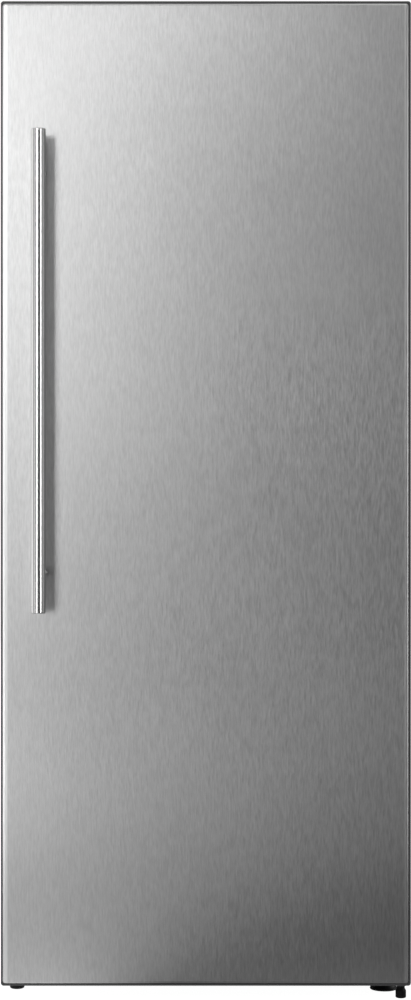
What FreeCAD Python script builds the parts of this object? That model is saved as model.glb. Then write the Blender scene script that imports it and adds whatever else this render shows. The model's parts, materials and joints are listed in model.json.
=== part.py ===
"""Upright freezer with one right-hinged steel door and a tubular handle.

Millimetres. +X is to the right of a person facing the door, +Y is to the back, +Z is up.
The origin is on the floor, at the middle of the object's bounding box.
Depths marked "d" are measured backwards from the front face of the door.
"""

import FreeCAD, Part
import math
import os

V = FreeCAD.Vector
X_AXIS = V(1, 0, 0)
Y_AXIS = V(0, 1, 0)
Z_AXIS = V(0, 0, 1)

# ---------------------------------------------------------------- driving dimensions
WIDTH = 711.0  # across the door
DEPTH = 750.0  # handle to wall spacers
HEIGHT = 1735.0  # floor to the top of the door

HANDLE_REACH = 56.0  # front of the bar to the door face
SPACER_REACH = 14.0  # wall spacers behind the rear panel
DOOR_BOTTOM = 28.0
DOOR_THICK = 76.0
DOOR_GAP = 14.5  # door's inner face to the cabinet, filled by the gasket

CABINET_WIDTH = 705.0
CABINET_BOTTOM = 36.0
CABINET_TOP = 1710.0
WALL = 62.0  # steel, foam and liner together
SHEET = 1.0  # painted steel
LINER = 2.0  # moulded plastic
SLACK = 0.2  # gap between neighbouring pieces

FRONT = -DEPTH / 2 + HANDLE_REACH  # the door face
CAB_FRONT = FRONT + DOOR_THICK + DOOR_GAP
CAB_BACK = DEPTH / 2 - SPACER_REACH
HALF = CABINET_WIDTH / 2
FLANGE = 46.0  # steel face that the gasket closes on
SHEET_BEND = 3.0  # outer radius of the cabinet's bent edges
TOP_FLANGE = 8.0  # width of the side sheet turned in over the top
TOP_FRONT = 6.0  # depth of the front flange's own top

# cavity, to the inner face of the liner
ROOM_HALF = HALF - WALL
ROOM_FLOOR = CABINET_BOTTOM + WALL
ROOM_TOP = CABINET_TOP - WALL
ROOM_BACK = CAB_BACK - WALL
ROOM_CORNER = 18.0
STEP_TOP = 330.0  # floor above the machine bay
STEP_FRONT = 118.0  # rear wall of the low part of the cavity

# machine bay, behind and below the step
BAY_FRONT = STEP_FRONT + 52.0
BAY_TOP = 270.0
TRAY = 2.0  # thickness of the plates that carry the feet and the compressor
SILL_DEPTH = 78.0

# door hinge axis
PIN_X = WIDTH / 2 - 14.6
PIN_Y = FRONT + 36.0
PIN_R = 5.0
PIN_SLACK = 0.05
BUSH_R = 8.0

# door parts
EDGE_HANDLE = 2.4  # dark frame that shows beside the steel at the handle's side
EDGE_HINGE = 3.8  # the same at the hinge's side
EDGE_END = 3.4  # the same above and below the steel
FRAME_SET_BACK = 2.5  # frame's face behind the door face
SKIN = 0.8
SKIN_RETURN = 10.8
SKIN_BEND = 5.0
SKIN_CORNER = 5.2
CAP_CORNER = 5.0
CAP_WALL = 3.0
TOP_CAP_Z = 1690.0
BOTTOM_CAP_Z = 58.0
DYKE_D = 112.0  # how far the raised rim of the door liner reaches back
DYKE_WIDTH = 28.0
DYKE_GAP = 8.5  # dyke to cavity walls
GASKET_INSET = 22.0
GASKET_WIDTH = 20.0
NOTCH_X = 326.0  # hinge arm's recess in the top cap
NOTCH_Z = 1708.0

# hinges and fasteners
HINGE_PLATE = 4.0
HINGE_SIDE = 10.0  # hinge plates reach this far right of the pin
LOW_ARM_Z = 21.5  # underside of the lower hinge's arm
LOW_PLATE_Z = CABINET_BOTTOM - SLACK - HINGE_PLATE  # underside of its rear plate
TOP_HINGE_SCREWS = [(306, -180), (338, -180), (306, -206)]
LOW_HINGE_SCREWS = [(282, -196), (282, -172), (338, -172)]
REAR_SCREWS = [(x, z) for x in (-335, -110, 110, 335) for z in (52, 260)]
DUCT_SCREWS = [(x, z) for x in (-270, 270) for z in (360, 1000, 1630)]
HINGE_SCREW_LENGTH = 14.0
REAR_SCREW_LENGTH = 8.0
DUCT_SCREW_LENGTH = 6.0
REAR_COVER_PROUD = 0.8
STEM_ROOM = 0.3  # radial room round a foot's threaded stem

# handle
BAR_R = 12.7
BAR_X = -287.0
BAR_LOW = 676.0
BAR_HIGH = 1506.0
BAR_CAP = 12.0
BAR_WALL = 2.0
POST_INSET = 70.0
POST_R = 7.0

# interior fittings
SHELF_FRONT = -118.0
SHELF_BACK = 196.0
SHELF_Z = (STEP_TOP + 4, 552.0, 830.0, 1108.0)
SHELF_LEDGE = 7.0
GLASS = 4.0
COVER_Y = 213.0  # front face of the air duct panel
BIN_Z = (566.0, 822.0, 1078.0, 1334.0)
BIN_HALF = 243.0
BIN_HEIGHT = 108.0
BIN_FRONT_D = 184.0
BIN_BACK_D = 78.5
BIN_WALL = 2.5
BOSS_D = (94.0, 106.0)
BOSS_TOP = 50.0  # above the bin's floor
BOSS_PLAY = 0.5
DRAWER_HALF = 264.0
DRAWER_LOW_RIM = 292.0
DRAWER_HIGH_RIM = 514.0
DRAWER_WALL = 2.5
DRAWER_FRONT_Y = -84.0
RUNNER = 14.0  # drawer ledges on the liner walls
RUNNER_FRONT = -196.0
SHELF_REST = 10.0  # shelf ledges on the liner walls

# lamp and buttons under the ceiling
CONTROL_HALF = 124.0
CONTROL_Y = (-196.0, -112.0)
CONTROL_Z = (1620.0, ROOM_TOP)
CONTROL_WALL = 4.0
LENS_X = (-96.0, 28.0)
LENS_INSET = 16.0
BUTTONS = (60.0, 88.0)
BUTTON_Z = 1634.0
BUTTON_R = 8.0

# feet and rollers: where each axis stands
FOOT_LEFT = (-336.6, FRONT + 110.0)
FOOT_RIGHT = (316.6, FRONT + 104.0)
LEFT_PAD_R = 13.0
LEFT_STEM_R = 4.0
RIGHT_PAD_R = 24.5
RIGHT_STEM_R = 5.0
LEG_R = 9.25
LEG_NECK_R = 7.0
LEG_THREAD_R = 3.0
LEG_STEM = 6.0
ROLLER_X = 310.0
ROLLER_Y = 306.0
ROLLER_R = 16.0
ROLLER_WIDTH = 14.0
AXLE_R = 3.0

# refrigeration
EVAPORATOR_Z = (640.0, 900.0)
EVAPORATOR_HALF = 200.0
EVAPORATOR_ROWS = (240.0, 270.0)
EVAPORATOR_PASSES = 8
EVAPORATOR_PITCH = 30.0
EVAPORATOR_TUBE_R = 4.0
EVAPORATOR_FAN = (0.0, 234.0, 1500.0)
EVAPORATOR_FAN_R = 52.0
CONDENSER_X = (-322.0, -140.0)
CONDENSER_Z = 76.0
CONDENSER_ROWS = (206.0, 234.0, 262.0)
CONDENSER_PASSES = 6
CONDENSER_PITCH = 28.0
CONDENSER_TUBE_R = 3.0
CONDENSER_FAN = (-96.0, 262.0, 150.0)
CONDENSER_FAN_R = 58.0
SHAFT_R = 2.0
SHAFT_LENGTH = 30.0  # from the middle of a fan into its motor
COMPRESSOR = (150.0, 262.0)
COMPRESSOR_R = 66.0
COMPRESSOR_LOW = 60.0
COMPRESSOR_TOP = 212.0
MOUNT_DX = 80.0  # the compressor's bolts from its axis
MOUNT_DY = 34.0
GROMMET_NECK_R = 6.0
DRAIN = (150.0, 270.0)
DRAIN_R = 10.0
INLET = (292.0, 196.0)


# ---------------------------------------------------------------- shape helpers
def block(x, y, z):
    """A box from pairs of limits."""
    return Part.makeBox(x[1] - x[0], y[1] - y[0], z[1] - z[0], V(x[0], y[0], z[0]))


def wide(half, y, z):
    """A box that is symmetric about X = 0."""
    return block((-half, half), y, z)


def at_depth(near, far):
    """The Y limits of two depths behind the door face."""
    return FRONT + near, FRONT + far


def rod(radius, length, start, axis=Z_AXIS):
    return Part.makeCylinder(radius, length, V(*start), axis)


def cone(r0, r1, length, start, axis=Z_AXIS):
    return Part.makeCone(r0, r1, length, V(*start), axis)


def join(*shapes):
    """One clean solid from overlapping or touching ones."""
    return shapes[0].multiFuse(list(shapes[1:])).removeSplitter()


def cut(shape, *tools):
    for tool in tools:
        shape = shape.cut(tool)
    return shape


def edges_where(shape, test):
    return [e for e in shape.Edges if test(e.BoundBox)]


def along_x(box):
    return box.XLength > max(box.YLength, box.ZLength)


def along_y(box):
    return box.YLength > max(box.XLength, box.ZLength)


def along_z(box):
    return box.ZLength > max(box.XLength, box.YLength)


def rounded(shape, radius, test=lambda box: True):
    return shape.makeFillet(radius, edges_where(shape, test))


def pipe(points, radius, bend, bore=None):
    """A tube along straight runs joined by tangent arcs."""
    points = [V(*p) for p in points]
    edges, start = [], points[0]
    for before, corner, after in zip(points, points[1:], points[2:]):
        back = (before - corner).normalize()
        ahead = (after - corner).normalize()
        half_turn = (math.pi - back.getAngle(ahead)) / 2
        reach = bend * math.tan(half_turn)
        a, b = corner + back * reach, corner + ahead * reach
        middle = (back + ahead).normalize()
        centre = corner + middle * (bend / math.cos(half_turn))
        crest = centre - middle * bend
        if (a - start).Length > 1e-6:
            edges.append(Part.LineSegment(start, a).toShape())
        edges.append(Part.Arc(a, crest, b).toShape())
        start = b
    edges.append(Part.LineSegment(start, points[-1]).toShape())
    path = Part.Wire(edges)
    way = (points[1] - points[0]).normalize()

    def swept(r):
        ring = Part.Wire(Part.makeCircle(r, points[0], way))
        return path.makePipeShell([ring], True, False)

    return swept(radius) if bore is None else swept(radius).cut(swept(bore))


def serpentine(x, pitch, z, rows, passes, radius):
    """A tube that runs to and fro along X, up one row and down the next."""
    half = pitch / 2
    edges, heights = [], [z + pitch * i for i in range(passes)]
    here, side = V(x[0], rows[0], heights[0]), 1
    for row, y in enumerate(rows):
        order = heights if row % 2 == 0 else heights[::-1]
        for i, height in enumerate(order):
            end = V(x[1] if side > 0 else x[0], y, height)
            edges.append(Part.LineSegment(here, end).toShape())
            side = -side
            out = V(half if end.x == x[1] else -half, 0, 0)
            if i + 1 < len(order):
                turn = V(0, 0, order[i + 1] - height)
            elif row + 1 < len(rows):
                turn = V(0, rows[row + 1] - y, 0)
            else:
                break
            after = end + turn
            edges.append(Part.Arc(end, end + turn * 0.5 + out, after).toShape())
            here = after
    path = Part.Wire(edges)
    ring = Part.Wire(Part.makeCircle(radius, V(x[0], rows[0], z), X_AXIS))
    return path.makePipeShell([ring], True, False)


def fins(x, step, y, z, holes, hole_r, thick=0.6):
    """A row of equal thin plates across X, pierced where the tubes pass."""
    plate = block((0, thick), y, z)
    for hy, hz in holes:
        plate = plate.cut(rod(hole_r, 2 * thick, (-thick / 2, hy, hz), X_AXIS))
    count = int((x[1] - x[0]) / step) + 1
    return [plate.translated(V(x[0] + step * i, 0, 0)) for i in range(count)]


def frame_ring(half, z, width, y):
    """A rectangular ring in the XZ plane."""
    outer = wide(half, y, z)
    return outer.cut(wide(half - width, y, (z[0] + width, z[1] - width)))


def screw(place, axis, length, head_r=4.2, shank_r=2.2, head=2.6):
    """A pan-head screw whose head stands on place; axis points the way it drives."""
    way = V(*axis)
    under = V(*place)
    top = Part.makeCylinder(head_r, head, under, way * -1)
    top = top.makeFillet(1.0, [e for e in top.Edges if far_edge(e, under, way, head)])
    slot = Part.makeCylinder(1.5, 1.2, under - way * head, way)
    return join(top, Part.makeCylinder(shank_r, length, under, way)).cut(slot)


def far_edge(edge, under, way, head):
    """True for the round edge on the outside of a screw head."""
    centre = edge.CenterOfMass
    return abs((centre - under).dot(way) + head) < 1e-3 and len(edge.Vertexes) == 1


def screw_hole(place, axis, length, shank_r=2.2):
    """The hole that a screw's shank needs."""
    way = V(*axis)
    return Part.makeCylinder(shank_r + 0.1, length + 1.0, V(*place) - way * 0.5, way)


# ------------------------------------------------ fasteners: lists of screws, or of their holes
def top_hinge_screws(make):
    z = CABINET_TOP + HINGE_PLATE
    return [make((x, y, z), (0, 0, -1), HINGE_SCREW_LENGTH) for x, y in TOP_HINGE_SCREWS]


def low_hinge_screws(make):
    return [make((x, y, LOW_PLATE_Z), (0, 0, 1), HINGE_SCREW_LENGTH) for x, y in LOW_HINGE_SCREWS]


def rear_screws(make):
    y = CAB_BACK + REAR_COVER_PROUD
    return [make((x, y, z), (0, -1, 0), REAR_SCREW_LENGTH) for x, z in REAR_SCREWS]


def duct_screws(make):
    return [make((x, COVER_Y, z), (0, 1, 0), DUCT_SCREW_LENGTH) for x, z in DUCT_SCREWS]


def stem_pockets():
    """Room in the cabinet floor for the two front feet's threaded stems."""
    deep = 40.0
    stems = ((FOOT_LEFT, LEFT_STEM_R), (FOOT_RIGHT, RIGHT_STEM_R))
    return [rod(r + STEM_ROOM, deep, (x, y, CABINET_BOTTOM - 1)) for (x, y), r in stems]


# ---------------------------------------------------------------- cabinet
def room(grow):
    """The cavity, grown by a wall thickness, with moulded corners."""
    half, low, high = ROOM_HALF + grow, ROOM_FLOOR - grow, ROOM_TOP + grow
    front = CAB_FRONT - 1.0
    radius = ROOM_CORNER + grow
    main = wide(half, (front, ROOM_BACK + grow), (STEP_TOP - grow, high))
    main = rounded(main, radius, lambda b: along_z(b) and b.YMin > 0 or along_y(b) and b.ZMin > 1000)
    foot = wide(half, (front, STEP_FRONT + grow), (low, STEP_TOP + 60))
    foot = rounded(foot, radius, lambda b: along_y(b) and b.ZMax < STEP_TOP)
    return join(main, foot)


def side_form(side, inset):
    """The side's outer form with its bent edges, or the space left inside its sheet."""
    outer, front, top = side * (HALF - inset), CAB_FRONT + inset, CABINET_TOP - inset
    x = sorted((outer, side * (HALF - FLANGE)))
    body = block(x, (front, CAB_BACK - SHEET - SLACK), (CABINET_BOTTOM, top))

    def bent(box):
        outside = abs(box.XMin - outer) < 0.1 and abs(box.XMax - outer) < 0.1
        at_front, at_top = box.YMax < front + 0.1, box.ZMin > top - 0.1
        return (outside and (at_front or at_top)) or (at_front and at_top)

    return rounded(body, SHEET_BEND - inset, bent)


def side_panel(side):
    """Painted steel side, turned in over the top and at the front for the gasket's magnet."""
    x = sorted((side * (HALF - TOP_FLANGE), side * (HALF - FLANGE - 1)))
    opening = block(x, (CAB_FRONT + TOP_FRONT, CAB_BACK), (CABINET_TOP - 2 * SHEET, HEIGHT))
    return cut(side_form(side, 0), side_form(side, SHEET), opening)


def hinge_doubler(grow):
    """Steel plate welded under the top, where the upper hinge is screwed on."""
    z = (CABINET_TOP - 5 - grow, CABINET_TOP - SHEET / 2)
    x = (288 - grow, HALF - TOP_FLANGE - 1 + grow)
    return block(x, (CAB_FRONT + TOP_FRONT + 1 - grow, -156 + grow), z)


def top_panel():
    """Painted steel top with a turned-down front lip."""
    y = (CAB_FRONT + TOP_FRONT + SLACK, CAB_BACK - SHEET - SLACK)
    plate = wide(HALF - TOP_FLANGE - SLACK, y, (CABINET_TOP - SHEET, CABINET_TOP))

    def lip_form(inset):
        top, front = CABINET_TOP - inset, CAB_FRONT + inset
        body = wide(HALF - FLANGE - SLACK, (front, CAB_FRONT + 20), (CABINET_TOP - FLANGE, top))
        return rounded(body, SHEET_BEND - inset, lambda b: b.YMax < front + 0.1 and b.ZMin > top - 0.1)

    lip = lip_form(0).cut(lip_form(SHEET))
    return cut(join(plate, lip, hinge_doubler(0)), *top_hinge_screws(screw_hole))


def rear_panel():
    """Steel back with pressed vertical ribs."""
    y = (CAB_BACK - SHEET, CAB_BACK)
    z = (BAY_TOP + 4, CABINET_TOP)
    sheet = rounded(wide(HALF, y, z), SHEET_BEND, lambda b: along_y(b) and b.ZMin > z[1] - 0.1)
    pitch, half_rib, proud = 90.0, 14.0, 2.0
    ribs = []
    for i in range(-3, 4):
        x = (i * pitch - half_rib, i * pitch + half_rib)
        rib = block(x, (CAB_BACK - SHEET / 2, CAB_BACK + proud), (z[0] + 60, z[1] - 70))
        ribs.append(rounded(rib, 1.6, lambda b: b.YMin > CAB_BACK + proud - 0.1))
    return join(sheet, *ribs)


def cabinet_foam():
    """Foamed insulation between the steel and the liner, in straight-sided sections."""
    grow = LINER + SLACK
    out, room_x = HALF - SHEET - SLACK, ROOM_HALF + grow
    front, back = CAB_FRONT + 3.4, CAB_BACK - SHEET - SLACK
    low, high = CABINET_BOTTOM + TRAY + SLACK, CABINET_TOP - 2.4
    bay_y, bay_z = BAY_FRONT - SHEET - SLACK, BAY_TOP + SHEET + SLACK
    step_y, step_z = STEP_FRONT + grow, STEP_TOP - grow
    floor_z, ceiling_z = ROOM_FLOOR - grow, ROOM_TOP + grow
    sections = [
        wide(room_x, (front, back), (ceiling_z, high)),
        wide(room_x, (ROOM_BACK + grow, back), (step_z, ceiling_z)),
        wide(room_x, (step_y, back), (bay_z, step_z)),
        wide(room_x, (step_y, bay_y), (floor_z, bay_z)),
        wide(room_x, (front, bay_y), (low, floor_z)),
    ]
    for x in ((-out, -room_x), (room_x, out)):
        sections.append(block(x, (front, back), (bay_z, high)))
        sections.append(block(x, (front, bay_y), (low, bay_z)))
    drain = rod(DRAIN_R + 1, 100.0, (*DRAIN, BAY_TOP - 10))
    holes = [drain, hinge_doubler(SLACK), *top_hinge_screws(screw_hole), *low_hinge_screws(screw_hole)]
    return Part.makeCompound([cut(section, *holes, *stem_pockets()) for section in sections])


def runner(side, z, thick=6.0, reach=RUNNER, y=(RUNNER_FRONT, 110.0)):
    """A ledge moulded on a side wall, its top at z."""
    wall, tip = side * (ROOM_HALF + LINER / 2), side * (ROOM_HALF - reach)
    ledge = block(sorted((wall, tip)), y, (z - thick, z))
    return rounded(ledge, 2.0, lambda b: along_y(b) and b.XMax * side < ROOM_HALF - reach + 1)


def inner_liner():
    """White moulded lining with shelf ledges, drawer runners and a front rim."""
    rim_half, rim_z = HALF - FLANGE - SLACK, (CABINET_BOTTOM + FLANGE, CABINET_TOP - FLANGE - SLACK)
    rim = wide(rim_half, (CAB_FRONT, CAB_FRONT + LINER), rim_z)
    behind_sill = wide(rim_half + 1, (CAB_FRONT - 1, CAB_FRONT + LINER + 1), (0, ROOM_FLOOR - LINER))
    shell = join(room(LINER), rim)
    shell = shell.cut(wide(HALF, (CAB_FRONT - 10, CAB_FRONT), (0, HEIGHT)))
    shell = cut(shell, room(0), behind_sill)
    ledges = []
    for side in (-1, 1):
        for z in SHELF_Z:
            thick = min(SHELF_LEDGE, z - STEP_TOP + LINER / 2)
            ledges.append(runner(side, z - SLACK, thick, SHELF_REST, (SHELF_FRONT + 10, COVER_Y - 6)))
        ledges.append(runner(side, DRAWER_LOW_RIM - SLACK))
        ledges.append(runner(side, DRAWER_HIGH_RIM - SLACK, y=(RUNNER_FRONT, 200.0)))
    drain = rod(DRAIN_R + 2 * SLACK, 60.0, (*DRAIN, STEP_TOP - 30))
    return join(shell, *ledges).cut(drain)


def front_sill():
    """Steel rail across the cabinet's front foot: gasket face and the feet's threads."""
    between = HALF - FLANGE - SLACK
    plate = (CABINET_BOTTOM, CABINET_BOTTOM + TRAY)
    face = wide(between, (CAB_FRONT, CAB_FRONT + SHEET), (CABINET_BOTTOM, ROOM_FLOOR - LINER - SLACK))
    front = CAB_FRONT + SHEET + SLACK
    bottom = wide(HALF - SHEET - SLACK, (front, CAB_FRONT + SILL_DEPTH), plate)
    bottom = rounded(bottom, 2.4, lambda b: along_z(b) and b.YMax < front + 0.1)
    web = wide(between, (CAB_FRONT, CAB_FRONT + 3), plate)
    return cut(join(face, web, bottom), *stem_pockets(), *low_hinge_screws(screw_hole))


def base_pan():
    """Steel floor that steps up over the machine bay."""
    half = HALF - SHEET - SLACK
    low = wide(half, (CAB_FRONT + SILL_DEPTH + SLACK, BAY_FRONT), (CABINET_BOTTOM, CABINET_BOTTOM + SHEET))
    riser = wide(half, (BAY_FRONT - SHEET, BAY_FRONT), (CABINET_BOTTOM, BAY_TOP + SHEET))
    roof = wide(half, (BAY_FRONT - SHEET, CAB_BACK - SHEET - SLACK), (BAY_TOP, BAY_TOP + SHEET))
    drain = rod(DRAIN_R + 0.8, 20, (*DRAIN, BAY_TOP - 10))
    return cut(join(low, riser, roof), drain, *low_hinge_screws(screw_hole))


def compressor_tray():
    """Steel tray under the machine bay, with turned-up ends."""
    half = HALF - SHEET - SLACK
    y = (BAY_FRONT + SLACK, CAB_BACK - SHEET - SLACK)
    plate = wide(half, y, (CABINET_BOTTOM, CABINET_BOTTOM + TRAY))
    lip = (CABINET_BOTTOM, CABINET_BOTTOM + 16)
    ends = [block(sorted((side * half, side * (half - TRAY))), y, lip) for side in (-1, 1)]
    raised = (CABINET_BOTTOM + 1, CABINET_BOTTOM + TRAY + 1.5)
    beads = [wide(280, (middle - 5, middle + 5), raised) for middle in (196, 342)]
    return Part.makeCompound([join(plate, *ends, *beads), *roller_brackets()])


def roller_brackets():
    """Two steel forks riveted under the tray, each with its axle."""
    half, ear_r, thick = 11.0, 9.0, 2.0
    forks = []
    for side in (-1, 1):
        middle = side * ROLLER_X
        top_y = (ROLLER_Y - 17, ROLLER_Y + 17)
        pieces = [block((middle - half, middle + half), top_y, (CABINET_BOTTOM - thick, CABINET_BOTTOM))]
        for x in (middle - half, middle + half - thick):
            ear_y = (ROLLER_Y - ear_r, ROLLER_Y + ear_r)
            pieces.append(block((x, x + thick), ear_y, (ROLLER_R, CABINET_BOTTOM - thick / 2)))
            pieces.append(rod(ear_r, thick, (x, ROLLER_Y, ROLLER_R), X_AXIS))
        axle = rod(AXLE_R, 2 * half + 2, (middle - half - 1, ROLLER_Y, ROLLER_R), X_AXIS)
        forks.append(join(*pieces, axle))
    return forks


def roller(side):
    """Rear roller, dished on both faces and bored for its axle."""
    left = side * ROLLER_X - ROLLER_WIDTH / 2
    dish = 2.0

    def disc(r, length, x):
        return rod(r, length, (x, ROLLER_Y, ROLLER_R), X_AXIS)

    wheel = rounded(disc(ROLLER_R, ROLLER_WIDTH, left), 2.0)
    dishes = [disc(ROLLER_R - 3, dish, x).cut(disc(7, dish, x)) for x in (left, left + ROLLER_WIDTH - dish)]
    return cut(wheel, *dishes, disc(AXLE_R + PIN_SLACK, ROLLER_WIDTH, left))


def wall_spacers():
    """Four plastic bumpers that keep the back off a wall."""
    half, tip = 17.0, CAB_BACK + SPACER_REACH
    pads = []
    for x in (-250, 250):
        for z in (300, 1674):
            pad = block((x - half, x + half), (CAB_BACK, tip), (z - half, z + half))
            pads.append(rounded(pad, 4.0, lambda b: b.YMin > tip - 0.1 or along_y(b)))
    return Part.makeCompound(pads)


# ---------------------------------------------------------------- hinges and feet
def lower_hinge():
    """Stepped steel bracket under the door, with a pin that the door turns on."""
    low, high = LOW_ARM_Z, LOW_ARM_Z + HINGE_PLATE
    top = CABINET_BOTTOM - SLACK
    right, left = PIN_X + HINGE_SIDE, PIN_X - 36
    back = CAB_FRONT - 4
    arm = block((left, right), (PIN_Y, back), (low, high))
    corner = block((left, PIN_X - 9), (PIN_Y, PIN_Y + 20), (low, high))
    nose = rod(HINGE_SIDE, HINGE_PLATE, (PIN_X, PIN_Y, low))
    riser = block((left, right), (back - HINGE_PLATE, back), (low, top))
    plate = block((PIN_X - 74, right), (back - HINGE_PLATE, CAB_FRONT + 66), (LOW_PLATE_Z, top))
    pin = rounded(rod(PIN_R, 27, (PIN_X, PIN_Y, high - 1)), 1.2, lambda b: b.ZMin > high + 20)
    thread = rod(LEG_THREAD_R + SLACK, LEG_STEM + 1, (PIN_X, PIN_Y, low - 1))
    stem = rod(RIGHT_STEM_R + STEM_ROOM, 10, (*FOOT_RIGHT, LOW_PLATE_Z - 2))
    body = join(arm.cut(corner), nose, riser, plate, pin)
    return cut(body, thread, stem, *low_hinge_screws(screw_hole))


def upper_hinge():
    """Steel bracket on the cabinet's top, with a pin down into the door."""
    low = CABINET_TOP
    z = (low, low + HINGE_PLATE)
    nose_r, pin_length = 12.0, 15.0
    base = block((290, 350), (CAB_FRONT + 4, -160), z)
    arm = block((PIN_X - nose_r, HALF - 0.5), (PIN_Y, CAB_FRONT + 6), z)
    nose = rod(nose_r, HINGE_PLATE, (PIN_X, PIN_Y, low))
    pin = rod(PIN_R, pin_length, (PIN_X, PIN_Y, low + 1 - pin_length))
    pin = rounded(pin, 1.2, lambda b: b.ZMax < low - 10)
    return cut(join(base, arm, nose, pin), *top_hinge_screws(screw_hole))


def upper_hinge_cover():
    """Plastic cap over the upper hinge."""
    x, y, z = (284, 352), (CAB_FRONT - 8, -150), (CABINET_TOP, HEIGHT - 1)
    box = rounded(block(x, y, z), 6.0, lambda b: b.ZMin > z[1] - 1 or along_z(b))
    hollow = block((x[0] + 2, x[1] - 1.4), (y[0] + 2, y[1] - 2), (z[0] - 1, z[1] - 2.4))
    hollow = rounded(hollow, 4.0, lambda b: b.ZMin > z[1] - 4 or along_z(b))
    doorway = block((PIN_X - 13, x[1] + 1), (y[0] - 1, y[0] + 15), (z[0] - 1, z[0] + HINGE_PLATE + 1))
    return cut(box, hollow, doorway)


def foot_left():
    """Small levelling foot on a threaded stem."""
    x, y = FOOT_LEFT
    high = 15.0
    pad = rounded(rod(LEFT_PAD_R, high, (x, y, 0)), 3.0, lambda b: b.ZMax < 1)
    pad = rounded(pad, 1.0, lambda b: b.ZMin > high - 0.5)
    return join(pad, rod(LEFT_STEM_R, 46, (x, y, high - 1)))


def foot_right():
    """Wide levelling foot: a thin flared pad, a hexagon to turn it and a threaded stem."""
    x, y = FOOT_RIGHT
    pad_top, nut_low, nut_high, nut_r = 3.4, 10.4, 19.4, 11.0
    pad = rounded(rod(RIGHT_PAD_R, pad_top, (x, y, 0)), 1.4)
    flare = cone(19, nut_r, nut_low - pad_top, (x, y, pad_top))
    turns = [math.radians(60 * i) for i in range(7)]
    corners = [V(x + nut_r * math.cos(t), y + nut_r * math.sin(t), nut_low) for t in turns]
    nut = Part.Face(Part.makePolygon(corners)).extrude(V(0, 0, nut_high - nut_low))
    return join(pad, flare, nut, rod(RIGHT_STEM_R, 44, (x, y, nut_high - 0.4)))


def hinge_leg():
    """Fluted levelling leg under the lower hinge, threaded into its pin."""
    x, y = PIN_X, PIN_Y
    shoulder, neck, top = 12.8, 17.2, LOW_ARM_Z - SLACK
    body = rounded(rod(LEG_R, shoulder, (x, y, 0)), 2.2, lambda b: b.ZMax < 1)
    cone_part = cone(LEG_R, LEG_NECK_R, neck - shoulder, (x, y, shoulder))
    stem = rod(LEG_THREAD_R, LEG_STEM, (x, y, top - 0.3))
    flutes = []
    for i in range(12):
        turn = math.radians(30 * i)
        place = (x + (LEG_R + 0.35) * math.cos(turn), y + (LEG_R + 0.35) * math.sin(turn), 3.0)
        flutes.append(rod(0.9, 9.0, place))
    return cut(join(body, cone_part, rod(LEG_NECK_R, top - neck, (x, y, neck)), stem), *flutes)


# ---------------------------------------------------------------- door
def pan(x, z, y_near, y_far, corner, bend):
    """A rounded rectangle in the XZ plane, swept back, with its front edge bent."""
    body = rounded(block(x, (y_near, y_far), z), corner, along_y)
    return rounded(body, bend, lambda b: b.YMax < y_near + 0.01)


def skin_outline(grow):
    """The X and Z limits of the steel, grown on all four sides."""
    x = (-WIDTH / 2 + EDGE_HANDLE - grow, WIDTH / 2 - EDGE_HINGE + grow)
    return x, (DOOR_BOTTOM + EDGE_END - grow, HEIGHT - EDGE_END + grow)


def door_skin():
    """Brushed steel front sheet with its edges bent back."""
    y = at_depth(0, SKIN_RETURN)
    outer = pan(*skin_outline(0), *y, SKIN_CORNER, SKIN_BEND)
    inner = pan(*skin_outline(-SKIN), y[0] + SKIN, y[1] + 1, SKIN_CORNER - SKIN, SKIN_BEND - SKIN)
    return outer.cut(inner)


def door_frame_blank(z):
    """The dark frame's outer form over a height range."""
    full = wide(WIDTH / 2, at_depth(FRAME_SET_BACK, DOOR_THICK - 3), (DOOR_BOTTOM, HEIGHT))
    full = rounded(full, CAP_CORNER, along_y)
    seat = pan(*skin_outline(SLACK), *at_depth(-10, SKIN_RETURN + SLACK), SKIN_CORNER + SLACK, 1.0)
    return full.cut(seat).common(wide(WIDTH, at_depth(0, DOOR_THICK), z))


def cap_pocket(z):
    """The hollow of an end cap, left solid round the hinge."""
    pocket = wide(WIDTH / 2 - CAP_WALL, at_depth(SKIN_RETURN + CAP_WALL, DOOR_THICK - 6), z)
    return pocket.cut(block((NOTCH_X - 5, WIDTH), at_depth(0, DOOR_THICK), z))


def door_top_cap():
    """Plastic end cap along the door's top, recessed for the hinge arm."""
    notch = block((NOTCH_X, WIDTH), at_depth(11.5, DOOR_THICK + 1), (NOTCH_Z, HEIGHT + 1))
    notch = rounded(notch, 4.0, lambda b: along_z(b) and b.XMax < NOTCH_X + 1 and b.YMax < FRONT + 20)
    socket = rod(BUSH_R + SLACK / 2, 40, (PIN_X, PIN_Y, TOP_CAP_Z + 4))
    pocket = cap_pocket((TOP_CAP_Z - 1, HEIGHT - 4))
    return cut(door_frame_blank((TOP_CAP_Z, HEIGHT)), pocket, notch, socket)


def door_bottom_cap():
    """Ribbed plastic end cap along the door's foot, with the lower bush's socket."""
    low, high = DOOR_BOTTOM, BOTTOM_CAP_Z
    socket = rod(BUSH_R + SLACK / 2, 27, (PIN_X, PIN_Y, low - 1))
    rib_d = at_depth(SKIN_RETURN + 2, DOOR_THICK - 5)
    ribs = [block((x - 1, x + 1), rib_d, (low + 1, high - 6)) for x in range(-280, 281, 80)]
    shell = cut(door_frame_blank((low, high)), cap_pocket((low + CAP_WALL, high + 1)))
    return cut(join(shell, *ribs), socket)


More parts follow.
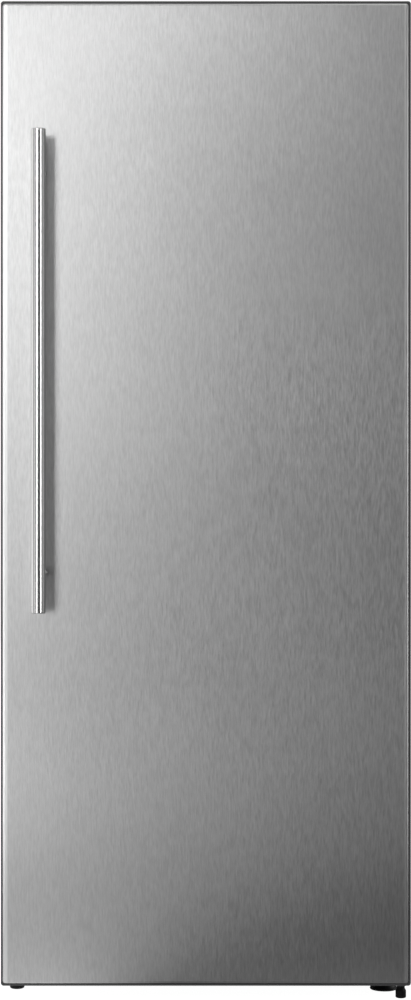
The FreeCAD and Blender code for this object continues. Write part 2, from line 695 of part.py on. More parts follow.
def door_side_rails():
    """Dark side profiles that hold the skin and the liner together."""
    z = (BOTTOM_CAP_Z + SLACK, TOP_CAP_Z - SLACK)
    half = WIDTH / 2
    rails = []
    for side, edge in ((-1, EDGE_HANDLE), (1, EDGE_HINGE)):
        def strip(near, far, d):
            return block(sorted((side * near, side * far)), at_depth(*d), z)

        wall = strip(half - edge + SLACK, half, (FRAME_SET_BACK, DOOR_THICK - 3))
        wall = rounded(wall, 0.5, lambda b: along_z(b) and abs(b.XMin - side * half) < 0.01)
        front = strip(340, half - 1, (SKIN_RETURN + SLACK, SKIN_RETURN + 2.2))
        back = strip(336, half - 1, (DOOR_THICK - 6, DOOR_THICK - 3))
        rails.append(join(wall, front, back))
    return Part.makeCompound(rails)


def dyke_box(shrink, far):
    """The raised rim's outer form on the door liner."""
    half = ROOM_HALF - DYKE_GAP - shrink
    z = (ROOM_FLOOR + DYKE_GAP + shrink, ROOM_TOP - DYKE_GAP - shrink)
    box = wide(half, at_depth(60, far), z)
    return rounded(box, 9.0 - shrink, lambda b: b.YMin > FRONT + far - 0.1 or along_y(b))


def dyke_pocket(grow, near):
    """The recess inside the rim, where the bins hang."""
    half = ROOM_HALF - DYKE_GAP - DYKE_WIDTH + grow
    inset = DYKE_GAP + DYKE_WIDTH - grow
    box = wide(half, at_depth(near, DYKE_D + 20), (ROOM_FLOOR + inset, ROOM_TOP - inset))
    return rounded(box, 7.0 + grow, lambda b: b.YMax < FRONT + near + 0.1 or along_y(b))


def door_liner():
    """White inner panel with a raised rim and the bosses that carry the bins."""
    plate = wide(WIDTH / 2 - 4, at_depth(DOOR_THICK - 3, DOOR_THICK), (DOOR_BOTTOM + 4, NOTCH_Z - 2))
    plate = rounded(plate, 3.0, along_y)
    rim = dyke_box(0, DYKE_D).cut(wide(WIDTH, at_depth(0, DOOR_THICK - 2), (0, HEIGHT)))
    hollow = dyke_box(LINER, DYKE_D - LINER).cut(dyke_pocket(LINER, 60))
    outside = join(plate, rim)
    panel = cut(outside, dyke_pocket(0, DOOR_THICK), hollow)
    return join(panel, *bosses())


def bosses():
    """Small blocks on the rim's inner walls, a pair for each bin."""
    wall = ROOM_HALF - DYKE_GAP - DYKE_WIDTH
    found = []
    for z in BIN_Z:
        for side in (-1, 1):
            x = sorted((side * (wall - 5.0), side * (wall + 0.5)))
            found.append(block(x, at_depth(*BOSS_D), (z + 24, z + BOSS_TOP)))
    return found


def door_foam():
    """Insulation of the door: a slab and the four bars that fill the raised rim."""
    z = (BOTTOM_CAP_Z + SLACK, TOP_CAP_Z - SLACK)
    core = wide(335.8, at_depth(SKIN + SLACK, DOOR_THICK - 3 - SLACK), z)
    middle = block(skin_outline(0)[0], at_depth(SKIN_RETURN + 2.4, DOOR_THICK - 6 - SLACK), z)
    front = wide(346, at_depth(SKIN + SLACK, SKIN_RETURN), z)
    grow = LINER + SLACK
    rim = dyke_box(grow, DYKE_D - grow).cut(dyke_pocket(grow, 50))
    rim = rim.cut(wide(WIDTH, at_depth(0, DOOR_THICK - 3 - SLACK), (0, HEIGHT)))
    inner = ROOM_HALF - DYKE_GAP - DYKE_WIDTH + grow
    y = at_depth(0, DYKE_D)
    spans = (((-WIDTH, -inner), z), ((inner, WIDTH), z), ((-inner, inner), (z[0], HEIGHT / 2)),
             ((-inner, inner), (HEIGHT / 2, z[1])))
    bars = [rim.common(block(x, y, span)) for x, span in spans]
    return Part.makeCompound([join(core, middle, front), *bars])


def door_gasket():
    """Soft magnetic seal: foot, bellows and magnet bulb round the door."""
    half = WIDTH / 2 - GASKET_INSET
    z = (DOOR_BOTTOM + GASKET_INSET, HEIGHT - GASKET_INSET - 14)
    middle = GASKET_WIDTH / 2

    def ring(width, d):
        trim = middle - width / 2
        return frame_ring(half - trim, (z[0] + trim, z[1] - trim), width, at_depth(*d))

    near, far = DOOR_THICK + 8.5, DOOR_THICK + DOOR_GAP - 0.5
    bulb = ring(GASKET_WIDTH, (near, far))
    bulb = rounded(bulb, 1.8, lambda b: b.YMax < FRONT + near + 0.1 or b.YMin > FRONT + far - 0.1)
    folds = ((15, 0.0, 2.5), (8, 2.0, 6.0), (12, 5.0, 7.0), (7, 6.5, 9.0))
    return join(*[ring(width, (DOOR_THICK + a, DOOR_THICK + b)) for width, a, b in folds], bulb)


def hinge_bushes():
    """Two nylon sleeves in the end caps that turn on the hinge pins."""
    foot = LOW_ARM_Z + HINGE_PLATE + SLACK / 2
    low = rod(BUSH_R, 25, (PIN_X, PIN_Y, foot))
    low = join(low, rod(BUSH_R + 2, DOOR_BOTTOM - foot - 0.05, (PIN_X, PIN_Y, foot)))
    high = rod(BUSH_R, 13, (PIN_X, PIN_Y, NOTCH_Z - 12.5))
    bore = rod(PIN_R + PIN_SLACK, HEIGHT, (PIN_X, PIN_Y, 0))
    return Part.makeCompound([low.cut(bore), high.cut(bore)])


def handle_centre():
    return FRONT - HANDLE_REACH + BAR_R


def handle_bar():
    """Steel tube, bored out."""
    place = (BAR_X, handle_centre(), BAR_LOW + BAR_CAP)
    length = BAR_HIGH - BAR_LOW - 2 * BAR_CAP
    return rod(BAR_R, length, place).cut(rod(BAR_R - BAR_WALL, length, place))


def handle_caps():
    """Turned end pieces plugged into the tube."""
    y = handle_centre()
    caps = []
    for z, up in ((BAR_LOW, 1), (BAR_HIGH, -1)):
        axis = V(0, 0, up)
        body = Part.makeCylinder(BAR_R, BAR_CAP - SLACK, V(BAR_X, y, z), axis)
        body = body.makeFillet(1.6, edges_where(body, lambda b: b.ZLength < 0.1 and abs(b.ZMin - z) < 0.1))
        plug = Part.makeCylinder(BAR_R - BAR_WALL - SLACK, 10, V(BAR_X, y, z + up * (BAR_CAP - 1)), axis)
        caps.append(join(body, plug))
    return Part.makeCompound(caps)


def handle_posts():
    """Stand-offs with a collar against the skin and a saddle against the tube."""
    posts = []
    for z in (BAR_LOW + POST_INSET, BAR_HIGH - POST_INSET):
        stem = rod(POST_R, HANDLE_REACH - BAR_R, (BAR_X, FRONT, z), Y_AXIS * -1)
        collar = rounded(rod(11, 5, (BAR_X, FRONT, z), Y_AXIS * -1), 1.2, lambda b: b.YMax < FRONT - 4)
        posts.append(join(stem, collar).cut(rod(BAR_R + 0.05, 60, (BAR_X, handle_centre(), z - 30))))
    return Part.makeCompound(posts)


# ---------------------------------------------------------------- bins, drawers and shelves
def door_bin(z):
    """Moulded tray with a grooved ear at each end that drops over the bosses."""
    y = at_depth(BIN_BACK_D, BIN_FRONT_D)
    top = z + BIN_HEIGHT
    body = wide(BIN_HALF, y, (z, top))
    body = rounded(body, 10.0, lambda b: along_z(b) or b.ZMax < z + 1)
    hollow = wide(BIN_HALF - BIN_WALL, (y[0] + BIN_WALL, y[1] - BIN_WALL), (z + 3, top + 10))
    hollow = rounded(hollow, 8.0, lambda b: along_z(b) or b.ZMax < z + 4)
    lip = wide(BIN_HALF - 6, (y[1] - 5, y[1] + 1.2), (top - 9, top))
    lip = rounded(lip, 2.0, lambda b: along_x(b) and b.YMin > y[1])
    low_back = wide(BIN_HALF + 1, (y[0] - 1, y[0] + 30), (z + 74, top + 1))
    ears = []
    for side in (-1, 1):
        x = sorted((side * (BIN_HALF - 1.5), side * (BIN_HALF + 10)))
        ear = block(x, at_depth(BOSS_D[0] - 6, BOSS_D[1] + 6), (z + 14, z + BOSS_TOP + 10))
        ears.append(rounded(ear, 2.0, lambda b: b.XLength < 0.1 and abs(b.XMin) > BIN_HALF + 9))
    return cut(join(cut(join(body, lip), low_back), *ears), hollow, *boss_slots(z))


def boss_slots(z):
    """Grooves, open below, that clear a pair of bosses."""
    wall = ROOM_HALF - DYKE_GAP - DYKE_WIDTH
    y = at_depth(BOSS_D[0] - BOSS_PLAY, BOSS_D[1] + BOSS_PLAY)
    spans = [sorted((side * (wall - 5.4), side * (wall + 5))) for side in (-1, 1)]
    return [block(x, y, (z, z + BOSS_TOP + 0.3)) for x in spans]


def drawer(back, low, rim):
    """Clear moulded drawer with side rims that slide on the runners."""
    near = DRAWER_FRONT_Y
    tub = wide(DRAWER_HALF, (near, back), (low, rim + 4))
    tub = rounded(tub, 12.0, lambda b: along_z(b) or b.ZMax < low + 1)
    hollow = wide(DRAWER_HALF - DRAWER_WALL, (near + 4, back - DRAWER_WALL), (low + 3, rim + 20))
    hollow = rounded(hollow, 9.5, lambda b: along_z(b) or b.ZMax < low + 4)
    wings = wide(ROOM_HALF - 5, (near + 8, back - 6), (rim, rim + 4))
    front = wide(DRAWER_HALF + 4, (near - 12, near + 3), (low + 2, rim + 14))
    front = rounded(front, 4.0, lambda b: b.YMax < near - 11 or along_y(b))
    grip = wide(80, (near - 13, near - 2.5), (rim - 34, rim - 4))
    grip = rounded(grip, 7.0, along_y)
    core = wide(DRAWER_HALF - 1, (near - 9.5, near - 0.5), (low - 1, rim - 40))
    return cut(join(tub, wings, front), hollow, grip, core)


def shelf_glass(z):
    """Toughened glass plate."""
    plate = wide(ROOM_HALF - 3, (SHELF_FRONT + 4, SHELF_BACK - 4), (z, z + GLASS))
    return rounded(plate, 1.0, along_x)


def shelf_trims():
    """Plastic strips clipped on the front and back edge of each glass plate."""
    strips = []
    for z in SHELF_Z:
        top = z + GLASS
        slot = wide(ROOM_HALF, (SHELF_FRONT + 4, SHELF_BACK - 4), (z - 0.05, top + 0.05))
        front = wide(ROOM_HALF - 3.5, (SHELF_FRONT - 4, SHELF_FRONT + 12), (z - 3, top + 7))
        front = rounded(front, 2.5, lambda b: along_x(b) and b.YMax < SHELF_FRONT)
        back = wide(ROOM_HALF - 30, (SHELF_BACK - 14, SHELF_BACK), (z - 3, top + 12))
        back = rounded(back, 2.0, lambda b: along_x(b) and b.ZMin > top + 11)
        ledges = wide(ROOM_HALF + 1, (SHELF_FRONT + 9.8, SHELF_BACK), (z - 12, z + 0.1))
        between = wide(ROOM_HALF - SHELF_REST - 0.3, (SHELF_FRONT, SHELF_BACK + 1), (z - 13, z + 1))
        strips += [cut(front, slot, ledges.cut(between)), cut(back, slot)]
    return Part.makeCompound(strips)


def evaporator_cover():
    """Air duct panel in front of the evaporator, with a raised duct, vents and fan guard."""
    proud, wall, duct_z = 14.0, 3.0, (620.0, 1400.0)
    panel = wide(ROOM_HALF - 2, (COVER_Y, COVER_Y + wall), (STEP_TOP + 12, ROOM_TOP - 12))
    duct = wide(92, (COVER_Y - proud, COVER_Y + 1), duct_z)
    duct = rounded(duct, 6.0, lambda b: b.YMax < COVER_Y - proud + 1 or along_y(b))
    inside = wide(92 - wall, (COVER_Y - proud + wall, COVER_Y + 4), (duct_z[0] + wall, duct_z[1] - wall))
    body = cut(join(panel, duct), inside)
    return cut(body, fan_guard(), *duct_vents(), *return_vents(), *duct_screws(screw_hole))


def duct_vents():
    """Slots on both sides of the raised duct, where cold air comes out."""
    high, pitch = 5.0, 11.0
    vents = []
    for z in (690.0, 970.0, 1250.0, 1360.0):
        for side in (-1, 1):
            for row in range(3):
                low = z + pitch * row
                x = sorted((side * 22.0, side * 74.0))
                vents.append(rounded(block(x, (COVER_Y - 20, COVER_Y - 5), (low, low + high)), 2.4, along_y))
    return vents


def return_vents():
    """Two rows of slots at the panel's foot, where the air goes back in."""
    half, high, pitch = 18.0, 6.0, 14.0
    vents = []
    for x in range(-216, 217, 48):
        for row in range(2):
            low = 372 + pitch * row
            vent = block((x - half, x + half), (COVER_Y - 1, COVER_Y + 6), (low, low + high))
            vents.append(rounded(vent, 2.9, along_y))
    return vents


def fan_guard():
    """The ring-shaped openings in front of the evaporator fan."""
    x, z = EVAPORATOR_FAN[0], EVAPORATOR_FAN[2]
    openings = []
    for inner, outer in ((14, 22), (26, 34), (38, 46), (50, 58)):
        place = (x, COVER_Y - 2, z)
        ring = rod(outer, 8, place, Y_AXIS).cut(rod(inner, 8, place, Y_AXIS))
        for turn in (0, 60, 120):
            spoke = wide(70, (COVER_Y - 3, COVER_Y + 7), (z - 2, z + 2))
            ring = ring.cut(spoke.rotated(V(x, 0, z), Y_AXIS, turn))
        openings.append(ring)
    return Part.makeCompound(openings)


def control_housing():
    """Ceiling unit that holds the lamp and two buttons."""
    low, high = CONTROL_Z
    near, far = CONTROL_Y
    wall = CONTROL_WALL
    box = wide(CONTROL_HALF, CONTROL_Y, (low, high - SLACK))
    box = rounded(box, 6.0, lambda b: b.ZMax < low + 1 or along_z(b))
    hollow = wide(CONTROL_HALF - wall, (near + wall, far - wall), (low + wall, high + 5))
    holes = [rod(BUTTON_R + 0.3, 10, (x, near - 2, BUTTON_Z), Y_AXIS) for x in BUTTONS]
    return cut(box, hollow, lens_form(0, (low - 1, low + 6)), *holes)


def lens_form(shrink, z):
    """The lamp window's rounded outline."""
    inset = LENS_INSET + shrink
    pane = block((LENS_X[0] + shrink, LENS_X[1] - shrink), (CONTROL_Y[0] + inset, CONTROL_Y[1] - inset), z)
    return rounded(pane, 8.0, along_z)


def light_lens():
    """Frosted lamp window that stands a little below the housing."""
    low = CONTROL_Z[0] - 2
    return rounded(lens_form(SLACK, (low, CONTROL_Z[0] + 4)), 1.8, lambda b: b.ZMax < low + 0.1)


def button(x):
    """Round push button with a dished face and a flange that keeps it in."""
    y = CONTROL_Y[0] - 1.6
    cap = rounded(rod(BUTTON_R, 6.5, (x, y, BUTTON_Z), Y_AXIS), 1.0, lambda b: b.YMax < y + 1)
    flange = rod(BUTTON_R + 1.4, 1.2, (x, CONTROL_Y[0] + CONTROL_WALL + SLACK, BUTTON_Z), Y_AXIS)
    dish_r, dish_deep = 26.0, 0.6
    dish = Part.makeSphere(dish_r, V(x, y + dish_deep - dish_r, BUTTON_Z))
    return join(cap, flange).cut(dish)


# ---------------------------------------------------------------- cooling
def evaporator_coil():
    """Aluminium tube through a stack of fins, with the defrost heater under it."""
    low = EVAPORATOR_Z[0] + 20
    tube = serpentine((-EVAPORATOR_HALF, EVAPORATOR_HALF), EVAPORATOR_PITCH, low,
                      EVAPORATOR_ROWS, EVAPORATOR_PASSES, EVAPORATOR_TUBE_R)
    heights = [low + EVAPORATOR_PITCH * i for i in range(EVAPORATOR_PASSES)]
    holes = [(y, z) for y in EVAPORATOR_ROWS for z in heights]
    plates = fins((-190, 190), 20.0, (226, 284), EVAPORATOR_Z, holes, EVAPORATOR_TUBE_R + SLACK)
    return Part.makeCompound([tube, *plates, defrost_heater()])


def defrost_heater():
    """Sheathed element bent to a long U."""
    z = EVAPORATOR_Z[0] - 24
    near, far, left, right = 240.0, 268.0, -210.0, 212.0
    bend = (far - near) / 2 - 0.1
    return pipe([(left, near, z), (right, near, z), (right, far, z), (left, far, z)], 3.5, bend)


def condenser_coil():
    """Copper tube through a stack of fins, in the machine bay."""
    tube = serpentine(CONDENSER_X, CONDENSER_PITCH, CONDENSER_Z,
                      CONDENSER_ROWS, CONDENSER_PASSES, CONDENSER_TUBE_R)
    heights = [CONDENSER_Z + CONDENSER_PITCH * i for i in range(CONDENSER_PASSES)]
    holes = [(y, z) for y in CONDENSER_ROWS for z in heights]
    x = (CONDENSER_X[0] + 8, CONDENSER_X[1] - 8)
    span = (heights[0] - 16, heights[-1] + 16)
    return Part.makeCompound([tube, *fins(x, 11.0, (190, 278), span, holes, CONDENSER_TUBE_R + SLACK)])


def drain_channel():
    """Trough under the evaporator with a drain tube down to the machine bay."""
    half, near, far, z, wall, tube_low = 240.0, 226.0, 292.0, 570.0, 2.0, 252.0
    outer = wide(half, (near, far), (z, z + 22))
    outer = rounded(outer, 5.0, lambda b: along_z(b) or b.ZMax < z + 1)
    inner = wide(half - wall, (near + wall, far - wall), (z + wall, z + 30))
    inner = rounded(inner, 3.0, lambda b: along_z(b) or b.ZMax < z + 3)
    tube = rod(DRAIN_R, z + 1 - tube_low, (*DRAIN, tube_low))
    return join(outer.cut(inner), tube).cut(rod(DRAIN_R - 1.5, 400, (*DRAIN, tube_low - 12)))


def drain_pan():
    """Plastic pan over the compressor, where defrost water dries."""
    low, wall = COMPRESSOR_TOP, 2.0

    def form(inset, z):
        box = block((78 + inset, 222 - inset), (214 + inset, 326 - inset), z)
        return rounded(box, 8.0 - inset, lambda b: along_z(b) or b.ZMax < z[0] + 1)

    return form(0, (low, low + 26)).cut(form(wall, (low + wall, low + 30)))


def bladed_fan(centre, axis, radius, count, hub_r, depth):
    """A hub with pitched blades on its motor shaft, built about Z and then turned to its axis."""
    middle = V(0, 0, 0)
    low = -depth / 2
    chord, thick, pitch = 26.0, 1.6, 28.0
    hub = rounded(rod(hub_r, depth, (0, 0, low)), 1.5, lambda b: b.ZMin > 0)
    blades = []
    for i in range(count):
        blade = block((hub_r - 2, radius), (-chord / 2, chord / 2), (-thick / 2, thick / 2))
        blade = rounded(blade, 9.0, lambda b: along_z(b) and b.XMin > hub_r)
        blades.append(blade.rotated(middle, X_AXIS, pitch).rotated(middle, Z_AXIS, 360 / count * i))
    fan = join(hub, *blades).cut(rod(SHAFT_R, depth, (0, 0, low)))
    shaft = rod(SHAFT_R, SHAFT_LENGTH - low, (0, 0, low))
    turn = (X_AXIS, -90) if axis == "y" else (Y_AXIS, 90)
    return Part.makeCompound([fan, shaft]).rotated(middle, *turn).translated(V(*centre))


def evaporator_fan():
    return bladed_fan(EVAPORATOR_FAN, "y", EVAPORATOR_FAN_R, 6, 15, 14)


def evaporator_fan_motor():
    """Motor can on a three-legged bracket, bored for the fan's shaft."""
    x, y, z = EVAPORATOR_FAN
    can = rounded(rod(19, 26, (x, y + 9, z), Y_AXIS), 2.0)
    bore = rod(SHAFT_R + PIN_SLACK, SHAFT_LENGTH, (x, y + 1, z), Y_AXIS)
    legs = []
    for turn in (90, 210, 330):
        leg = block((15, 72), (y + 26, y + 30), (-5, 5))
        pad = block((66, 74), (y + 26, y + 60), (-7, 7))
        legs.append(join(leg, pad).translated(V(x, 0, z)).rotated(V(x, 0, z), Y_AXIS, turn))
    return join(can, *legs).cut(bore)


def condenser_fan():
    return bladed_fan(CONDENSER_FAN, "x", CONDENSER_FAN_R, 5, 16, 16)


def condenser_fan_motor():
    """Motor can, bored for the fan's shaft, on a bracket that stands on the tray."""
    x, y, z = CONDENSER_FAN
    can = rounded(rod(22, 30, (x + 10, y, z), X_AXIS), 2.0)
    bore = rod(SHAFT_R + PIN_SLACK, SHAFT_LENGTH, (x + 1, y, z), X_AXIS)
    floor = CABINET_BOTTOM + TRAY
    strut = block((x + 24, x + 27), (y - 9, y + 9), (floor, z))
    foot = block((x + 10, x + 40), (y - 16, y + 16), (floor, floor + 2))
    return join(can, strut, foot).cut(bore)


def mount_places():
    x, y = COMPRESSOR
    return [(x + MOUNT_DX * i, y + MOUNT_DY * j) for i in (-1, 1) for j in (-1, 1)]


def compressor():
    """Sealed compressor: domed shell, weld seam and mounting plate."""
    x, y = COMPRESSOR
    r, low = COMPRESSOR_R, COMPRESSOR_LOW
    plate_z = (low - 6, low - 3)
    shell = rounded(rod(r, COMPRESSOR_TOP - low, (x, y, low)), 30.0)
    seam = rounded(rod(r + 3, 5, (x, y, (low + COMPRESSOR_TOP) / 2)), 1.5)
    plate = block((x - MOUNT_DX - 12, x + MOUNT_DX + 12), (y - MOUNT_DY - 12, y + MOUNT_DY + 12), plate_z)
    plate = rounded(plate, 10.0, along_z)
    collar = rod(r - 20, 8, (x, y, low - 5))
    holes = [rod(GROMMET_NECK_R + SLACK, 10, (px, py, low - 10)) for px, py in mount_places()]
    return cut(join(shell, seam, collar, plate), *holes)


def compressor_mounts():
    """Four rubber grommets with their bolts."""
    low = CABINET_BOTTOM + TRAY + 0.1
    plate_low, plate_high = COMPRESSOR_LOW - 6, COMPRESSOR_LOW - 3
    top = plate_high + 5
    bolt_r = 3.0
    found = []
    for x, y in mount_places():
        foot = rod(10, plate_low - 0.1 - low, (x, y, low))
        neck = rod(GROMMET_NECK_R, top - low, (x, y, low))
        collar = rod(9, 3, (x, y, plate_high + 0.1))
        found.append(join(foot, neck, collar).cut(rod(bolt_r + 0.1, 60, (x, y, CABINET_BOTTOM))))
        found.append(join(rod(bolt_r, top + 0.5 - low, (x, y, low)), rod(5.5, 4, (x, y, top + 0.2))))
    return Part.makeCompound(found)


def relay_cover():
    """Box over the start relay and overload protector."""
    x, y = COMPRESSOR
    box = block((x + COMPRESSOR_R - 10, x + COMPRESSOR_R + 30), (y - 26, y + 26), (84, 132))
    box = rounded(box, 4.0, lambda b: b.XMin > x + COMPRESSOR_R or along_x(b))
    return box.cut(rod(COMPRESSOR_R + 0.3, 180, (x, y, 50)))


def refrigerant_pipes():
    """Discharge and suction lines, and the filter drier between them."""
    x, y = COMPRESSOR
    back, front, bay_top, out = 318.0, 196.0, 264.0, 110.0
    discharge = pipe([(x - 65.7, y + 10, out), (x - 100, y + 10, out), (x - 100, back, out),
                      (-128, back, out), (-128, back - 18, out)], 3.0, 8.0)
    home = out + 10
    suction = pipe([(x - 60.7, y - 30, home), (x - 112, y - 30, home), (x - 112, front, home),
                    (x - 112, front, bay_top)], 4.0, 12.0)
    drier = join(rounded(rod(9, 90, (-60, front, 70)), 5.0), rod(2.5, 140, (-60, front, 60)))
    return Part.makeCompound([discharge, suction, drier])


def rear_cover():
    """Louvred steel panel that closes the machine bay."""
    y = (CAB_BACK - SHEET + 0.1, CAB_BACK + REAR_COVER_PROUD)
    panel = wide(HALF - 2, y, (CABINET_BOTTOM + 4, BAY_TOP + 3))
    slots = []
    for x in range(-300, 241, 30):
        for low, high in ((74, 136), (160, 222)):
            slot = block((x - 4, x + 4), (y[0] - 1, y[1] + 1), (low, high))
            slots.append(rounded(slot, 3.9, along_y))
    inlet = inlet_box(15.0, 11.0, (y[0] - 1, y[1] + 1))
    return cut(panel, *slots, inlet, *rear_screws(screw_hole))


def inlet_box(half_x, half_z, y):
    """A box round the power inlet's middle."""
    x, z = INLET
    return block((x - half_x, x + half_x), y, (z - half_z, z + half_z))


def cord_inlet():
    """Three-pin appliance socket in the rear cover."""
    x, z = INLET
    flange = rounded(inlet_box(25, 14, (CAB_BACK + REAR_COVER_PROUD + 0.1, CAB_BACK + 3.4)), 5.0, along_y)
    body = inlet_box(14.5, 10.5, (CAB_BACK - 24, CAB_BACK + 2))
    well = rounded(inlet_box(12, 8, (CAB_BACK - 18, CAB_BACK + 5)), 3.0, along_y)
    pins = [block((x + dx - 1, x + dx + 1), (CAB_BACK - 19, CAB_BACK - 3), (z + dz - 2, z + dz + 2))
            for dx, dz in ((-7, -2), (7, -2), (0, 3))]
    return join(join(flange, body).cut(well), *pins)


def panel_screws():
    """The screws of both hinges, the rear cover and the air duct panel."""
    lists = (top_hinge_screws, low_hinge_screws, rear_screws, duct_screws)
    return Part.makeCompound([piece for screws in lists for piece in screws(screw)])


# ---------------------------------------------------------------- files
def all_pieces():
    pieces = {
        "side_panel_left": side_panel(-1),
        "side_panel_right": side_panel(1),
        "top_panel": top_panel(),
        "rear_panel": rear_panel(),
        "cabinet_foam": cabinet_foam(),
        "inner_liner": inner_liner(),
        "front_sill": front_sill(),
        "base_pan": base_pan(),
        "compressor_tray": compressor_tray(),
        "roller_left": roller(-1),
        "roller_right": roller(1),
        "wall_spacers": wall_spacers(),
        "lower_hinge": lower_hinge(),
        "upper_hinge": upper_hinge(),
        "upper_hinge_cover": upper_hinge_cover(),
        "foot_left": foot_left(),
        "foot_right": foot_right(),
        "hinge_leg": hinge_leg(),
        "door_skin": door_skin(),
        "door_top_cap": door_top_cap(),
        "door_bottom_cap": door_bottom_cap(),
        "door_side_rails": door_side_rails(),
        "door_foam": door_foam(),
        "door_liner": door_liner(),
        "door_gasket": door_gasket(),
        "hinge_bushes": hinge_bushes(),
        "handle_bar": handle_bar(),
        "handle_caps": handle_caps(),
        "handle_posts": handle_posts(),
        "drawer_lower": drawer(112.0, 104.0, DRAWER_LOW_RIM),
        "drawer_upper": drawer(190.0, 353.0, DRAWER_HIGH_RIM),
        "shelf_trims": shelf_trims(),
        "evaporator_cover": evaporator_cover(),
        "control_housing": control_housing(),
        "light_lens": light_lens(),
        "evaporator_coil": evaporator_coil(),
        "evaporator_fan": evaporator_fan(),
        "evaporator_fan_motor": evaporator_fan_motor(),
        "drain_channel": drain_channel(),
        "drain_pan": drain_pan(),
        "condenser_coil": condenser_coil(),
        "condenser_fan": condenser_fan(),
        "condenser_fan_motor": condenser_fan_motor(),
        "compressor": compressor(),
        "compressor_mounts": compressor_mounts(),
        "relay_cover": relay_cover(),
        "refrigerant_pipes": refrigerant_pipes(),
        "rear_cover": rear_cover(),
        "cord_inlet": cord_inlet(),
        "panel_screws": panel_screws(),
    }
    for number, x in enumerate(BUTTONS, 1):
        pieces[f"button_{number}"] = button(x)
    for number, z in enumerate(SHELF_Z, 1):
        pieces[f"shelf_glass_{number}"] = shelf_glass(z)
    for number, z in enumerate(BIN_Z, 1):
        pieces[f"door_bin_{number}"] = door_bin(z)
    return pieces


def main():
    os.makedirs("parts", exist_ok=True)
    for name, shape in all_pieces().items():
        shape.exportStep(f"parts/{name}.step")
        state = "ok" if shape.isValid() else "INVALID"
        print(f"{name}: {len(shape.Solids)} solids, {shape.Volume / 1000:.1f} cm3, {state}")


main()
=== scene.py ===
"""Upright freezer: materials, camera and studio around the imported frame."""
import json
import math

import bpy
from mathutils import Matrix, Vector


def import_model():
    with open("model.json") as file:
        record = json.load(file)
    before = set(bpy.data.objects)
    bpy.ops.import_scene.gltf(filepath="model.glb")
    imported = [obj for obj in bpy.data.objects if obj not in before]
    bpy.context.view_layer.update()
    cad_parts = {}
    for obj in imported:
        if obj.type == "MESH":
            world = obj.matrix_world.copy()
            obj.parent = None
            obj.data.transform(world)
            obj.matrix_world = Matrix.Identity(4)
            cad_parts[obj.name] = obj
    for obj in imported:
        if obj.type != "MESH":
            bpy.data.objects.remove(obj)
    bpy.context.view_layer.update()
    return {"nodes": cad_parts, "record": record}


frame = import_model()

# Places on the freezer, in metres. It faces -y, and x is 0 in the middle of the door.
DOOR_Y = -0.319
DOOR_MIDDLE_Z = 0.8815
DOOR_SIDE_X = 0.355
HANDLE_X = -0.287
HANDLE_Y = -0.3623

# The rolled edges of the door's skin get a painted highlight: how far from its middle the paler painted
# steel starts and is full, and the blend there with the highlight's colour.
SIDE_BEND_HIGHLIGHT = (0.3425, 0.3455, 0.0, 0.85)
END_BEND_HIGHLIGHT = (0.8470, 0.8490, 0.0, 0.95)
BEND_HIGHLIGHT_COLOUR = (0.84, 0.84, 0.84)

# The photograph's framing.
SENSOR_HEIGHT = 36.0
LENS = 76.88
CAMERA_DISTANCE = 3.7
CAMERA_X = -0.0007
CAMERA_Z = 0.8702

# Lamps: distances and sizes (width, height) in metres. LAMP_Z is the middle of all but the panels.
LAMP_Z = 1.0
PANEL_DISTANCE, PANEL_WIDTH = 1.7, 0.21
RIM_X, RIM_Y, RIM_SIZE = 1.75, 0.10, (0.80, 2.6)
EDGE_DISTANCE, EDGE_SIZE = 1.5, (0.42, 2.0)
HANDLE_LAMP_DISTANCE, HANDLE_LAMP_SIZE = 2.5, (0.5, 2.6)

# name: degrees left of straight ahead, seen from the handle; heights of foot and head; glow at each.
PANELS = {
    "key": (16.0, 0.5, 2.0, 3.8, 9.6),
    "key_side": (24.0, 0.5, 2.7, 2.2, 5.7),
    "key_foot": (24.0, 0.0, 0.5, 8.0, 4.6),
    "front": (2.0, 1.0, 2.0, 0.7, 0.9),
    "high": (2.0, 2.0, 2.7, 8.0, 8.0),
}
# name: side of the freezer (-1 at the handle, 1 at the hinge), glow.
RIMS = {
    "rim_left": (-1, 1.0),
    "rim_right": (1, 1.0),
}
# name: side of the door, degrees outward from straight ahead, seen from the door's edge; glow.
EDGE_LAMPS = {
    "edge_left": (-1, 62.0, 1.0),
    "edge_far_left": (-1, 80.0, 1.4),
    "edge_right": (1, 78.0, 1.1),
}
# name: degrees left of straight ahead, seen from the handle; glow.
HANDLE_LAMPS = {
    "handle_right": (-44.0, 5.0),
    "handle_left": (60.0, 0.8),
}

WHITE = (1.0, 1.0, 1.0)
DIFFUSE_LEVEL = 0.62  # the world's brightness for matt surfaces
FLOOR_HALF = 9.0  # half the floor's side, in metres
FLOOR_GREY = (0.80, 0.80, 0.80)
# The white floor that the camera sees: the part that a shadow darkens, and the part that glows.
SHADED_GREY = (0.22, 0.22, 0.22)
FLOOR_GLOW = 0.98


